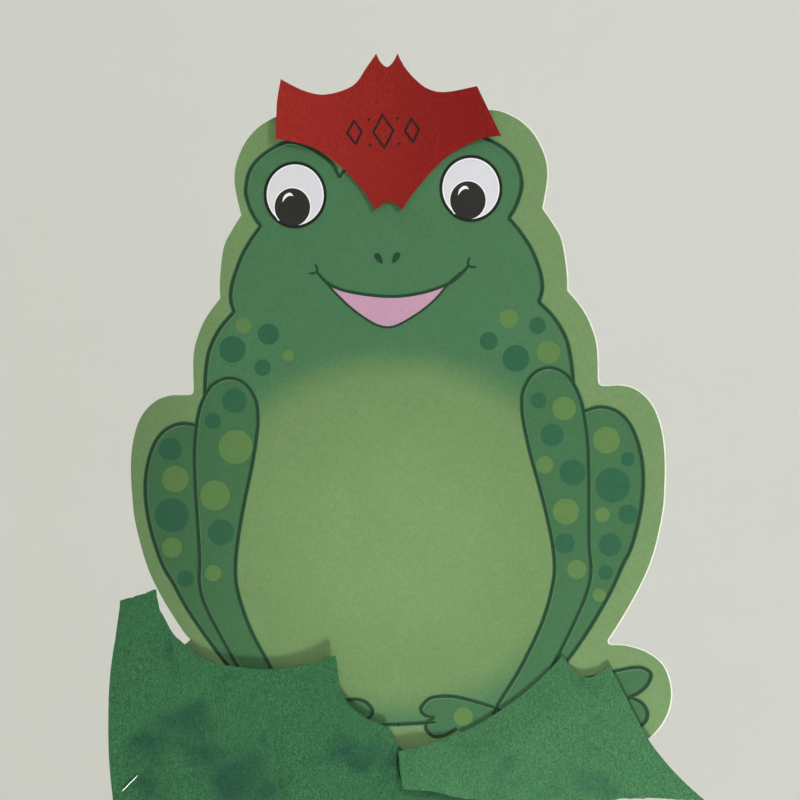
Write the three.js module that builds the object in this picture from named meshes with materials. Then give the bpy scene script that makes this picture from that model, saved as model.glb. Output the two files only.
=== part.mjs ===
// Paper bag puppet: a kraft lunch bag worn on the hand, with a die-cut frog card on its flap.
// Millimetres, +Z up, the frog faces -Y. Origin: the middle of the bag's rim, where the hand goes in.
import * as THREE from 'three';

// The bag, a block-bottom lunch bag standing on its rim with its folded bottom as the puppet's head.
const bagWidth = 130;
const gussetWidth = 39.5;            // half of the bag's 79 mm side
const rimDepth = 40;                 // front to back at the rim, with room for a hand
const creaseHeight = 226;            // the front crease, where the mouth hinges
const apexHeight = 258;              // the front and back planes meet on this line
const flapHeight = 79;               // the folded bottom, now the face of the head
const headRise = 37;                 // top fold above the crease
const flapForward = 9;               // inner face of the flap in front of the front panel
const kraft = 0.3;                   // paper with its glue, as modelled
const gap = 0.3;                     // clearance between neighbouring sheets

// The paper pieces on the flap.
const cardThickness = 0.5;
const tapeThickness = 0.2;
const crownPadThickness = 1.0;
const leftPadThickness = 2.0;
const rightPadThickness = 2.9;
const leafThickness = 0.3;
const dieTurn = THREE.MathUtils.degToRad(-0.9);   // the die cut sits a little askew on the print
const dieShift = 1.1;

// The office staple in the left leaf.
const stapleCrown = 12.7;
const stapleWire = 0.5;
const stapleClinch = 4.2;
const stapleAt = { x: -158.7, z: -76.1 };
const stapleTurn = THREE.MathUtils.degToRad(42.5);

const halfDepth = rimDepth / 2;
const halfWidth = bagWidth / 2;
const backTilt = Math.atan(rimDepth / apexHeight);
const taper = gussetWidth / apexHeight;
const gussetFold = Math.asin(Math.tan(backTilt / 2) / taper);
const topFold = creaseHeight + headRise;
const freeEdge = topFold - flapHeight;

const materials = {
  kraft: { color: 0xb08a5e, roughness: 0.85 },
  tape: { color: 0xe4e0d2, roughness: 0.6 },
  card: { color: 0x4f8a56, roughness: 0.6 },
  crown: { color: 0xa52c20, roughness: 0.9 },
  leftLeaf: { color: 0x37714a, roughness: 0.92 },
  rightLeaf: { color: 0x468052, roughness: 0.92 },
  steel: { color: 0xb9bcc0, roughness: 0.35, metalness: 1 },
};

const puppet = new THREE.Group();

function add(parent, name, geometry, look) {
  const mesh = new THREE.Mesh(geometry, new THREE.MeshStandardMaterial(materials[look]));
  mesh.name = name;
  parent.add(mesh);
  return mesh;
}

// An outline from smooth runs of points, with a corner where one run ends and the next begins.
function outline(runs) {
  const shape = new THREE.Shape();
  const points = runs.map((run) => run.map(([x, z]) => new THREE.Vector2(x, z)));
  shape.moveTo(points[0][0].x, points[0][0].y);
  for (const run of points) {
    const rest = run.slice(1);
    if (rest.length === 1) shape.lineTo(rest[0].x, rest[0].y);
    else shape.splineThru(rest);
  }
  return shape;
}

// A flat sheet cut to a shape drawn in X and Z, with its back face at y and its front towards -Y.
function sheet(parent, name, shape, y, thickness, look) {
  const geometry = new THREE.ExtrudeGeometry(shape, {
    depth: thickness,
    bevelEnabled: false,
    curveSegments: 3,
  });
  geometry.rotateX(Math.PI / 2);
  geometry.translate(0, y, 0);
  return add(parent, name, geometry, look);
}

function polygon(points) {
  return new THREE.Shape(points.map(([x, z]) => new THREE.Vector2(x, z)));
}

function rectangle(x0, z0, x1, z1) {
  return polygon([[x0, z0], [x1, z0], [x1, z1], [x0, z1]]);
}

function makeFrontPanel() {
  const notch = 11;                  // thumb cut in the rim
  const shape = new THREE.Shape();
  shape.moveTo(-halfWidth, 0);
  shape.lineTo(-notch, 0);
  shape.absarc(0, 0, notch, Math.PI, 0, true);
  shape.lineTo(halfWidth, 0);
  shape.lineTo(halfWidth, creaseHeight - gap);
  shape.lineTo(-halfWidth, creaseHeight - gap);
  sheet(puppet, 'front_panel', shape, -halfDepth, kraft, 'kraft');
}

// One half of a side gusset: a sheet that narrows towards the apex line and swings on its outer edge.
function gussetHalf(parent, name, side, forward, foot, top) {
  const edgeGap = 0.3;
  const creaseGap = 2.4;             // room for the folded layers when the bag lies flat
  const widthAt = (down) => down * taper - creaseGap;
  const shape = polygon([
    [edgeGap, foot],
    [widthAt(-foot), foot],
    [widthAt(-top), top],
    [edgeGap, top],
  ]);
  const geometry = new THREE.ExtrudeGeometry(shape, { depth: kraft, bevelEnabled: false });
  geometry.translate(0, 0, -kraft / 2);
  geometry.rotateX(Math.PI / 2);
  const half = add(parent, name, geometry, 'kraft');
  half.rotation.z = side > 0 ? Math.PI - forward * gussetFold : forward * gussetFold;
  half.position.set(side * (halfWidth - 0.4), forward * 0.35, 0);
}

function makeBody() {
  const neckGap = 6;                 // the back panel stops short of the crumpling rear crease
  const gussetTop = creaseHeight - apexHeight - 14;
  const front = new THREE.Group();
  front.position.set(0, -halfDepth, apexHeight);
  puppet.add(front);

  const back = new THREE.Group();
  back.position.set(0, -halfDepth, apexHeight);
  back.rotation.x = backTilt;
  puppet.add(back);

  const panelFoot = -apexHeight / Math.cos(backTilt);
  const panelTop = creaseHeight - apexHeight - neckGap;
  const panel = rectangle(-halfWidth, panelFoot, halfWidth, panelTop);
  sheet(back, 'back_panel', panel, kraft, kraft, 'kraft');
  const seam = rectangle(-9, panelFoot + 0.5, 6, panelTop - 12);
  sheet(back, 'seam_strip', seam, -gap, kraft, 'kraft');

  for (const [word, side] of [['left', -1], ['right', 1]]) {
    gussetHalf(front, `gusset_${word}_front`, side, 1, -apexHeight + 0.4, gussetTop);
    gussetHalf(back, `gusset_${word}_rear`, side, -1, panelFoot + 0.4, gussetTop);
  }
}

// A plain sheet between two lines along X, given as [y, z] of its lower and upper edges.
function slantedPanel(name, lower, upper, width) {
  const rise = Math.hypot(upper[0] - lower[0], upper[1] - lower[1]);
  const geometry = new THREE.BoxGeometry(width, kraft, rise);
  const mesh = add(puppet, name, geometry, 'kraft');
  mesh.rotation.x = -Math.atan2(upper[0] - lower[0], upper[1] - lower[1]);
  mesh.position.set(0, (lower[0] + upper[0]) / 2, (lower[1] + upper[1]) / 2);
}

function makeHead() {
  const flapInner = -halfDepth - flapForward;
  const neck = (apexHeight - creaseHeight) * Math.tan(backTilt);
  slantedPanel(
    'palate',
    [flapInner + 0.4, freeEdge + 0.6],
    [-halfDepth - 0.7, creaseHeight - 0.6],
    bagWidth,
  );
  slantedPanel(
    'head_back',
    [-halfDepth + neck + 0.2, creaseHeight + 1.5],
    [flapInner + 0.6, topFold - 0.5],
    bagWidth,
  );

  // Folded-in sides of the head, a little inside its edges.
  for (const [word, side] of [['left', -1], ['right', 1]]) {
    const profile = new THREE.Shape([
      new THREE.Vector2(flapInner + 1, freeEdge + 9),
      new THREE.Vector2(-halfDepth - 1.2, creaseHeight + 0.6),
      new THREE.Vector2(-halfDepth + neck - 1, creaseHeight + 2),
      new THREE.Vector2(flapInner + 1, topFold - 3.5),
    ]);
    const geometry = new THREE.ExtrudeGeometry(profile, { depth: kraft, bevelEnabled: false });
    geometry.rotateX(Math.PI / 2);
    geometry.rotateZ(Math.PI / 2);
    geometry.translate(side * (halfWidth - 5), 0, 0);
    add(puppet, `head_gusset_${word}`, geometry, 'kraft');
  }

  // The pasted layers of the block bottom, from the inside out.
  const tuckReach = 38;
  const slope = 12;
  for (const [word, side] of [['left', -1], ['right', 1]]) {
    const tuck = polygon([
      [side * halfWidth, freeEdge],
      [side * (halfWidth - tuckReach), freeEdge + slope],
      [side * (halfWidth - tuckReach), topFold - slope],
      [side * halfWidth, topFold],
    ]);
    sheet(puppet, `tuck_${word}`, tuck, flapInner, kraft, 'kraft');
  }
  const innerFlap = polygon([
    [-halfWidth, freeEdge],
    [halfWidth, freeEdge],
    [halfWidth - slope, freeEdge + 50],
    [-halfWidth + slope, freeEdge + 50],
  ]);
  const innerFlapY = flapInner - kraft - gap;
  sheet(puppet, 'inner_flap', innerFlap, innerFlapY, kraft, 'kraft');
  const outerFlap = rectangle(-halfWidth, freeEdge, halfWidth, topFold);
  const outerFlapY = innerFlapY - kraft - gap;
  sheet(puppet, 'outer_flap', outerFlap, outerFlapY, kraft, 'kraft');
  return outerFlapY - kraft;
}

function makeCard(y) {
  // Right half of the die cut, down from the middle of the top; the left half nearly mirrors it.
  const half = [
    [[0, 280], [20, 284], [36, 296], [57, 303.5], [72, 299], [82.5, 289.5], [88.5, 277.5],
      [90.3, 268], [89.6, 259], [86.9, 246]],
    [[86.9, 246], [92.5, 237.5], [97.5, 227.5], [100, 210], [100.2, 198.5]],
    [[100.2, 198.5], [108, 188.5], [113, 178.5], [116.3, 166], [116.6, 147]],
    [[116.6, 147], [118.4, 143.6], [130, 143.4], [139, 140.2], [147, 132], [151.8, 119.5],
      [153.8, 104], [153.4, 85], [151.6, 68.5], [145.6, 45], [137.5, 27], [126.4, 8.3],
      [118.7, -3]],
    [[118.7, -3], [119.8, -5.4], [129, -6.2], [141, -10.5], [150.5, -19], [154.4, -34],
      [150.7, -48.7], [140, -60.8], [122, -67], [98, -66]],
    [[98, -66], [70, -63], [30, -66.5], [0, -66]],
  ];
  const mirrored = half.map((run) => run.map(([x, z]) => [-x, z]).reverse()).reverse();
  // The left foot starts a little higher than the right one.
  mirrored[1].splice(-3, 3, [-131.5, -2], [-124.6, 0.6], [-122, 3.1]);
  mirrored[2][0] = [-122, 3.1];
  const turned = ([x, z]) => [
    dieShift + x * Math.cos(dieTurn) - z * Math.sin(dieTurn),
    x * Math.sin(dieTurn) + z * Math.cos(dieTurn),
  ];
  const runs = [...half, ...mirrored].map((run) => run.map(turned));
  sheet(puppet, 'frog_card', outline(runs), y, cardThickness, 'card');
}

function makeCrown(y) {
  sheet(puppet, 'crown', outline([
    [[-56, 324], [-43, 317], [-30.5, 314.5], [-15, 319], [-6.6, 329.3], [-0.8, 337]],
    [[-0.8, 337], [1.5, 332], [5, 329], [8.5, 331.5], [11.6, 336.5]],
    [[11.6, 336.5], [14.4, 330], [20.4, 322], [28.2, 315.5], [38.3, 313.2], [56.3, 315.7]],
    [[56.3, 315.7], [68.9, 286.5]],
    [[68.9, 286.5], [60, 286], [48, 281.8], [34.5, 273.7], [19, 257.9], [10.4, 246.5]],
    [[10.4, 246.5], [6.6, 250.6], [2.9, 251.6], [-1, 250], [-4.7, 247]],
    [[-4.7, 247], [-12.7, 260.2], [-25.8, 275], [-41.3, 285.2], [-60.2, 290]],
    [[-60.2, 290], [-59.5, 301], [-58.5, 312], [-56, 324]],
  ]), y, leafThickness, 'crown');
}

function makeStapleHoles(shape) {
  const reach = (stapleCrown - stapleWire) / 2;
  const hole = 0.7;                  // half the diagonal of each small square hole
  for (const end of [-1, 1]) {
    const x = stapleAt.x + end * reach * Math.cos(stapleTurn);
    const z = stapleAt.z + end * reach * Math.sin(stapleTurn);
    shape.holes.push(new THREE.Path([0, 1, 2, 3].map((corner) => {
      const angle = stapleTurn + Math.PI / 4 + (corner * Math.PI) / 2;
      return new THREE.Vector2(x + hole * Math.cos(angle), z + hole * Math.sin(angle));
    })));
  }
}

function makeLeaves(leftY, rightY) {
  const left = outline([
    [[-159.8, 29], [-149, 31.5], [-138.8, 35]],
    [[-138.8, 35], [-137.5, 24], [-130, 8.8], [-121, 0], [-109, -8], [-95, -11.5],
      [-75.7, -13.7], [-56, -12], [-37.5, -7.2]],
    [[-37.5, -7.2], [-37.8, -18], [-33.5, -32.4], [-21.7, -43.8], [-8.7, -49.5]],
    [[-8.7, -49.5], [-6.6, -56.5], [2, -66], [14, -73]],
    [[14, -73], [34, -80], [52, -88.5], [60, -97]],
    [[60, -97], [30, -98], [-30, -98], [-80, -96.5], [-130, -97], [-168, -94]],
    [[-168, -94], [-170, -60], [-168.5, -25], [-164.9, 0.4], [-160.8, 17], [-159.8, 29]],
  ]);
  makeStapleHoles(left);
  sheet(puppet, 'left_leaf', left, leftY, leafThickness, 'leftLeaf');

  const right = outline([
    [[92.8, -12.8], [80, -25], [64, -37.5], [43, -50], [20, -59], [-3.5, -63.5]],
    [[-3.5, -63.5], [-3.2, -74], [-1.8, -85]],
    [[-1.8, -85], [15, -87], [35, -92.6], [80, -98], [130, -96], [171, -99]],
    [[171, -99], [160, -88.4], [149, -75.8], [138, -59.5], [126, -34], [119.1, -19]],
    [[119.1, -19], [114.2, -23.3], [106.8, -25.8], [99.4, -23], [92.8, -12.8]],
  ]);
  sheet(puppet, 'right_leaf', right, rightY, leafThickness, 'rightLeaf');
}

// A flat wire bent round to the back, its tips clinched towards each other behind the leaf.
function makeStaple(leafBack) {
  const half = stapleCrown / 2;
  const front = leafThickness + gap + stapleWire;
  const back = -gap - stapleWire;
  const profile = polygon([
    [-half, front],
    [-half, back],
    [-half + stapleClinch, back],
    [-half + stapleClinch, back + stapleWire],
    [-half + stapleWire, back + stapleWire],
    [-half + stapleWire, front - stapleWire],
    [half - stapleWire, front - stapleWire],
    [half - stapleWire, back + stapleWire],
    [half - stapleClinch, back + stapleWire],
    [half - stapleClinch, back],
    [half, back],
    [half, front],
  ]);
  const geometry = new THREE.ExtrudeGeometry(profile, { depth: stapleWire, bevelEnabled: false });
  geometry.translate(0, 0, -stapleWire / 2);
  geometry.rotateZ(Math.PI);
  geometry.rotateY(-stapleTurn);
  const staple = add(puppet, 'staple', geometry, 'steel');
  staple.position.set(stapleAt.x, leafBack, stapleAt.z);
}

function makePaperPieces(flapFace) {
  const tapeY = flapFace - gap;
  sheet(puppet, 'card_tape_upper', rectangle(-50, topFold - 24, 50, topFold - 6), tapeY,
    tapeThickness, 'tape');
  sheet(puppet, 'card_tape_lower', rectangle(-50, freeEdge + 6, 50, freeEdge + 24), tapeY,
    tapeThickness, 'tape');
  const cardY = tapeY - tapeThickness - gap;
  makeCard(cardY);

  const padY = cardY - cardThickness - gap;
  sheet(puppet, 'crown_pad', rectangle(-10, 257, 16, 275), padY, crownPadThickness, 'tape');
  makeCrown(padY - crownPadThickness - gap);

  const leftY = padY - leftPadThickness - gap;
  const rightY = padY - rightPadThickness - gap;
  const padSize = 14;
  const padPlaces = [
    ['left_leaf_pad_outer', -125, -38, leftPadThickness],
    ['left_leaf_pad_inner', -58, -40, leftPadThickness],
    ['right_leaf_pad_outer', 112, -48, rightPadThickness],
    ['right_leaf_pad_inner', 72, -56, rightPadThickness],
  ];
  for (const [name, x, z, thickness] of padPlaces) {
    const pad = rectangle(x - padSize / 2, z - padSize / 2, x + padSize / 2, z + padSize / 2);
    sheet(puppet, name, pad, padY, thickness, 'tape');
  }
  makeLeaves(leftY, rightY);
  makeStaple(leftY);
}

makeFrontPanel();
makeBody();
makePaperPieces(makeHead());

export default puppet;
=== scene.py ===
import math
import random

import bmesh
import bpy
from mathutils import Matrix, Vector, noise


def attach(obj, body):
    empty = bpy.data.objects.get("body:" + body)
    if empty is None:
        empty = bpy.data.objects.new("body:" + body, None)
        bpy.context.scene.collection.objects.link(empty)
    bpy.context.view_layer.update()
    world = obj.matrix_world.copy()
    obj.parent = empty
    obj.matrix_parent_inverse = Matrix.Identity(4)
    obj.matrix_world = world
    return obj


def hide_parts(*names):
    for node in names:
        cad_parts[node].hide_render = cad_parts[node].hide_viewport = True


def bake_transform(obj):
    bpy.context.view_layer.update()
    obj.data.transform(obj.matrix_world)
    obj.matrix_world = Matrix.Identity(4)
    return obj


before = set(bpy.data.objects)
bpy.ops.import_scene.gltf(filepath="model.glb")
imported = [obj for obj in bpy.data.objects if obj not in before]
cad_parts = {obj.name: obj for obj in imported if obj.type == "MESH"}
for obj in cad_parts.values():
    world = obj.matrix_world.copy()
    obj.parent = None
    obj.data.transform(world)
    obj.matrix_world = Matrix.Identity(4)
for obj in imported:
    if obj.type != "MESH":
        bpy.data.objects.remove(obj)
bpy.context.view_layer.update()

mm = 0.001
puppetCard = {
    "face": -31.8,        # front of the card in mm, minus y is towards the viewer
    "thick": 0.5,
    "edgeRound": 0.42,    # share of the thickness that the die rolls over
    "dieTurn": -0.9,      # degrees, and the shift in mm
    "dieShift": 1.1,
    "printTurn": -0.4,    # the print is a touch askew on the flap
    "printPivot": 260,
    "leftTuck": 0.017,
    "printInset": 0.45,   # bare board left round the print
    "printSlip": (-0.35, -0.1),
    "footSlip": -1.6,
}


def clamp(value, low=0.0, high=1.0):
    return max(low, min(high, value))


def deselectAll():
    if bpy.context.object and bpy.context.object.mode != "OBJECT":
        bpy.ops.object.mode_set(mode="OBJECT")
    bpy.ops.object.select_all(action="DESELECT")


def makeActive(piece):
    deselectAll()
    piece.select_set(True)
    bpy.context.view_layer.objects.active = piece


def smoothRun(points, steps=8):
    path = []
    last = len(points) - 1
    if last == 1:
        return [points[0]]
    for i in range(last):
        a, b = points[max(i - 1, 0)], points[i]
        c, d = points[i + 1], points[min(i + 2, last)]
        for k in range(steps):
            t = k / steps
            path.append(tuple(
                b[j] + 0.5 * t * (c[j] - a[j] + t * (2 * a[j] - 5 * b[j] + 4 * c[j] - d[j]
                + t * (3 * (b[j] - c[j]) + d[j] - a[j]))) for j in (0, 1)))
    return path


def traceRuns(runs, steps=8):
    path = []
    for run in runs:
        path += smoothRun(run, steps)
    return path


def openRun(points, steps=8):
    return smoothRun(points, steps) + [points[-1]]


def mirrorRun(run):
    return [(-x, z) for x, z in reversed(run)]


def turnPoints(points, degrees, pivot=(0, 0), shift=0):
    c, s = math.cos(math.radians(degrees)), math.sin(math.radians(degrees))
    return [(pivot[0] + shift + (x - pivot[0]) * c - (z - pivot[1]) * s,
             pivot[1] + (x - pivot[0]) * s + (z - pivot[1]) * c) for x, z in points]


def ellipse(cx, cz, rx, rz, count=64):
    return [(cx + rx * math.cos(2 * math.pi * k / count), cz + rz * math.sin(2 * math.pi * k / count))
            for k in range(count)]


def polyLine(data, points):
    # one line of straight steps takes the place of the primitive's own curve
    data.splines.clear()
    line = data.splines.new("POLY")
    line.points.add(len(points) - 1)
    for point, place in zip(line.points, points):
        point.co = (*[value * mm for value in place], 1)
    return line


def cutPaper(name, outline, back, thick, rim=0.0, inset=0.0):
    # an outline in x and z, filled flat and given its thickness towards the viewer
    deselectAll()
    bpy.ops.curve.primitive_bezier_circle_add(rotation=(math.radians(90), 0, 0))
    piece = bpy.context.object
    piece.name = name
    data = piece.data
    data.dimensions = "2D"
    data.fill_mode = "BOTH"
    polyLine(data, [(x, z, 0) for x, z in outline]).use_cyclic_u = True
    data.extrude = (thick / 2 - rim) * mm
    data.bevel_depth = rim * mm
    data.bevel_resolution = 1
    data.offset = -(rim + inset) * mm
    piece.location.y = (back - thick / 2) * mm
    bpy.ops.object.convert(target="MESH")
    bpy.ops.object.transform_apply()
    tidyMesh(piece)
    return piece


def editAll(piece):
    makeActive(piece)
    bpy.ops.object.mode_set(mode="EDIT")
    bpy.ops.mesh.select_all(action="SELECT")


def leaveEdit():
    bpy.ops.mesh.select_all(action="DESELECT")
    bpy.ops.object.mode_set(mode="OBJECT")


def tidyMesh(piece):
    editAll(piece)
    bpy.ops.mesh.remove_doubles(threshold=2e-6)
    bpy.ops.mesh.normals_make_consistent(inside=False)
    leaveEdit()


def wirePiece(name, points, width, resolution, radii=None):
    # a round wire through points given in mm
    deselectAll()
    bpy.ops.curve.primitive_nurbs_path_add()
    piece = bpy.context.object
    piece.name = name
    line = polyLine(piece.data, points)
    for point, radius in zip(line.points, radii or []):
        point.radius = radius
    piece.data.bevel_depth = width / 2 * mm
    piece.data.bevel_resolution = resolution
    piece.data.use_fill_caps = True
    bpy.ops.object.convert(target="MESH")
    return piece


def inkStroke(name, points, width, front, taper=(1, 1)):
    # a round brush line pressed flat onto the paper
    taperRun, flatness = 6, 0.01
    radii = []
    for k in range(len(points)):
        near = min(1, min(k, len(points) - 1 - k) / taperRun)
        end = taper[0] if k < len(points) / 2 else taper[1]
        radii.append(end + (1 - end) * near)
    piece = wirePiece(name, [(x, 0, z) for x, z in points], width, 2, radii)
    for vert in piece.data.vertices:
        vert.co.y = front * mm + vert.co.y * flatness
    tidyMesh(piece)
    return piece


def joinPieces(name, pieces):
    makeActive(pieces[0])
    for piece in pieces:
        piece.select_set(True)
    if len(pieces) > 1:
        bpy.ops.object.join()
    pieces[0].name = name
    return pieces[0]


def flatSheet(name, outline, step, folds=()):
    # one layer of faces in the plane y = 0, cut into a fine grid and along its folds, so that it can bend
    deselectAll()
    bpy.ops.mesh.primitive_plane_add(size=1)
    piece = bpy.context.object
    piece.name = name
    sheet = bmesh.new()
    corners = [sheet.verts.new((x * mm, 0, z * mm)) for x, z in outline]
    sheet.faces.new(corners)
    bmesh.ops.triangulate(sheet, faces=sheet.faces[:])
    sheet.normal_update()
    if sum(face.normal.y * face.calc_area() for face in sheet.faces) > 0:
        bmesh.ops.reverse_faces(sheet, faces=sheet.faces[:])
    sheet.to_mesh(piece.data)
    sheet.free()
    cuts = []
    for i in (0, 2):
        places = [vert.co[i] for vert in piece.data.vertices]
        low, wide = min(places), max(places) - min(places)
        count = int(wide / (step * mm))
        for k in range(1, count + 1):
            place, normal = [0, 0, 0], [0, 0, 0]
            place[i] = low + wide * k / (count + 1)
            normal[i] = 1
            cuts.append((place, normal))
    editAll(piece)
    for place, normal in (*cuts, *folds):
        bpy.ops.mesh.select_all(action="SELECT")
        bpy.ops.mesh.bisect(plane_co=place, plane_no=normal)
    leaveEdit()
    return piece


def thicken(piece, thick, rimSlot):
    makeActive(piece)
    wall = piece.modifiers.new("thickness", "SOLIDIFY")
    wall.thickness = thick * mm
    wall.offset = 0
    wall.use_even_offset = False
    wall.material_offset_rim = rimSlot
    bpy.ops.object.modifier_apply(modifier=wall.name)


def shapeBy(piece, rule):
    # moves every vertex to where the rule puts it
    for vert in piece.data.vertices:
        vert.co = rule(vert.co)
    piece.data.update()


def dress(piece, *materials):
    piece.data.materials.clear()
    for material in materials:
        piece.data.materials.append(material)


def smoothShade(piece, angle=35):
    makeActive(piece)
    bpy.ops.object.shade_smooth_by_angle(angle=math.radians(angle))


def paperSheet(name, outline, step, rule, thick, materials, folds=(), angle=35):
    # a flat sheet, bent by its rule, given its thickness; the second material is its cut edge
    sheet = flatSheet(name, outline, step, folds)
    shapeBy(sheet, rule)
    thicken(sheet, thick, len(materials) - 1)
    dress(sheet, *materials)
    smoothShade(sheet, angle)
    return sheet


def paint(red, green, blue):
    # a colour as a paint chart gives it, 0 to 255
    tone = [c / 255 for c in (red, green, blue)]
    return (*[c / 12.92 if c <= 0.04045 else ((c + 0.055) / 1.055) ** 2.4 for c in tone], 1)


def scaled(colour, by):
    return (*[min(1, c * by) for c in colour[:3]], 1)


class Recipe:
    # a short way to wire shader nodes
    def __init__(self, name, roughness, specular=0.3):
        self.material = bpy.data.materials.new(name)
        self.material.use_nodes = True
        self.nodes = self.material.node_tree.nodes
        self.links = self.material.node_tree.links
        self.surface = self.nodes["Principled BSDF"]
        self.surface.inputs["Roughness"].default_value = roughness
        self.surface.inputs["Specular IOR Level"].default_value = specular
        self.place = self.add("ShaderNodeTexCoord").outputs["Object"]

    def add(self, kind, inputs=(), **settings):
        node = self.nodes.new(kind)
        for key, value in settings.items():
            setattr(node, key, value)
        for socket, value in dict(inputs).items():
            if isinstance(value, bpy.types.NodeSocket):
                self.links.new(value, node.inputs[socket])
            else:
                node.inputs[socket].default_value = value
        return node

    def stretched(self, scale, rotation=(0, 0, 0), move=(0, 0, 0)):
        return self.add("ShaderNodeMapping", {
            "Vector": self.place, "Scale": scale, "Rotation": rotation, "Location": move,
        }).outputs["Vector"]

    def cloud(self, scale, detail=4, rough=0.55, vector=None, distortion=0.0):
        return self.add("ShaderNodeTexNoise", {
            "Vector": vector or self.place, "Scale": scale, "Detail": detail, "Roughness": rough,
            "Distortion": distortion,
        }).outputs["Fac"]

    def ranged(self, value, low, high, toLow=0.0, toHigh=1.0, smooth=True):
        return self.add("ShaderNodeMapRange", {
            "Value": value, "From Min": low, "From Max": high, "To Min": toLow, "To Max": toHigh,
        }, interpolation_type="SMOOTHSTEP" if smooth else "LINEAR").outputs["Result"]

    def maths(self, operation, a, b=0.0):
        return self.add("ShaderNodeMath", {0: a, 1: b}, operation=operation).outputs[0]

    def times(self, a, b):
        return self.maths("MULTIPLY", a, b)

    def plus(self, a, b):
        return self.maths("ADD", a, b)

    def axis(self, letter):
        return self.add("ShaderNodeSeparateXYZ", {"Vector": self.place}).outputs[letter]

    def vector(self, operation, a, b=(0, 0, 0)):
        return self.add("ShaderNodeVectorMath", {0: a, 1: b}, operation=operation).outputs["Vector"]

    def length(self, a):
        return self.add("ShaderNodeVectorMath", {0: a}, operation="LENGTH").outputs["Value"]

    def drift(self, scale, detail, rough=0.5):
        # a random direction for every place
        return self.add("ShaderNodeTexNoise", {
            "Vector": self.place, "Scale": scale, "Detail": detail, "Roughness": rough,
        }).outputs["Color"]

    def blend(self, share, a, b, kind="MIX"):
        node = self.add("ShaderNodeMix", data_type="RGBA", blend_type=kind)
        for socket, value in ((0, share), (6, a), (7, b)):
            if isinstance(value, bpy.types.NodeSocket):
                self.links.new(value, node.inputs[socket])
            else:
                node.inputs[socket].default_value = value
        return node.outputs[2]

    def finish(self, colour, height=None, strength=0.3, distance=0.0002, roughness=None):
        self.links.new(colour, self.surface.inputs["Base Color"])
        if roughness is not None:
            self.links.new(roughness, self.surface.inputs["Roughness"])
        if height is not None:
            bump = self.add("ShaderNodeBump", {
                "Height": height, "Strength": strength, "Distance": distance,
            })
            self.links.new(bump.outputs["Normal"], self.surface.inputs["Normal"])
        return self.material


def printedInk(name, colour, grain=0.10, roughness=0.55, under=None, shade=0.80):
    # flat printed colour on uncoated board: fine speckle, a slow mottle and painted shade towards the left
    ink = Recipe(name, roughness, 0.25)
    base = under(ink) if under else colour
    speck = ink.ranged(ink.cloud(1000, 3, 0.7), 0.36, 0.64)
    fleck = ink.ranged(ink.cloud(430, 3, 0.6), 0.38, 0.62)
    slow = ink.ranged(ink.cloud(45, 3), 0.3, 0.7)
    share = ink.plus(ink.times(speck, 0.55), ink.times(slow, 0.15))
    share = ink.plus(share, ink.times(fleck, 0.30))
    if isinstance(base, bpy.types.NodeSocket):
        dark = ink.blend(1.0, base, (1 - grain, 1 - grain, 1 - grain, 1), "MULTIPLY")
        light = ink.blend(1.0, base, (1 + grain, 1 + grain, 1 + grain, 1), "MULTIPLY")
    else:
        dark, light = scaled(base, 1 - grain), scaled(base, 1 + grain)
    mixed = ink.blend(share, dark, light)
    leftShade = ink.ranged(ink.axis("X"), -0.152, -0.075, shade, 1.0)    # painted shade: darker on the left, away from the lamps on the right
    leftShadeTint = ink.add("ShaderNodeCombineXYZ", {"X": leftShade, "Y": leftShade, "Z": leftShade}).outputs["Vector"]
    mixed = ink.blend(1.0, mixed, leftShadeTint, "MULTIPLY")
    worn = ink.ranged(ink.cloud(760, 2, 0.5), 0.72, 0.78)
    mixed = ink.blend(ink.times(worn, 0.22), mixed, paint(170, 190, 150))
    return ink.finish(mixed, ink.cloud(2200, 2, 0.6), 0.12, 0.0001)


frogInk = {
    # colour and strength of the grain
    "limb": (paint(64, 110, 72), 0.12),
    "halo": (paint(113, 144, 95), 0.11),
    "line": (paint(30, 66, 43), 0.12),
    "lineGlow": (paint(80, 124, 88), 0.06),
    "spotLight": (paint(92, 128, 72), 0.09),
    "spotDark": (paint(43, 96, 68), 0.09),
    "mouth": (paint(196, 153, 178), 0.08),
    "eyeWhite": (paint(219, 220, 226), 0.03),
    "eyeRim": (paint(245, 246, 245), 0.01),
    "eyeBlack": (paint(26, 28, 26), 0.15),
    "pupil": (paint(41, 40, 37), 0.12),
}
skinTone = {"head": paint(70, 117, 79), "belly": paint(119, 152, 97), "bellyEdge": 0.87}


def skinColour(ink):
    # a pale belly that fades into the green of the head
    spot = ink.length(ink.stretched((1 / 0.110, 0, 1 / 0.100), move=(0.02, 0, -0.60)))
    ripple = ink.times(ink.cloud(60, 3), 0.05)
    inside = ink.ranged(ink.plus(spot, ripple), 0.88, 1.16, 1.0, 0.0)
    belly = ink.blend(ink.ranged(spot, 0.25, 0.9), skinTone["belly"],
                            scaled(skinTone["belly"], skinTone["bellyEdge"]))
    return ink.blend(inside, skinTone["head"], belly)


def boardBack():
    board = Recipe("boardBack", 0.75, 0.2)
    slow = board.ranged(board.cloud(22, 5, 0.6), 0.3, 0.7)
    fleck = board.ranged(board.cloud(900, 3, 0.7), 0.60, 0.7)
    along = board.stretched((1400, 900, 260), rotation=(0, 0.5, 0))
    hair = board.ranged(board.cloud(1.0, 4, 0.6, along, 1.5), 0.60, 0.68)
    colour = board.blend(slow, paint(201, 198, 189), paint(208, 205, 197))
    colour = board.blend(board.times(fleck, 0.35), colour, paint(160, 156, 146))
    colour = board.blend(board.times(hair, 0.35), colour, paint(174, 168, 154))
    return board.finish(colour, board.cloud(1600, 3), 0.2, 0.0001)


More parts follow.
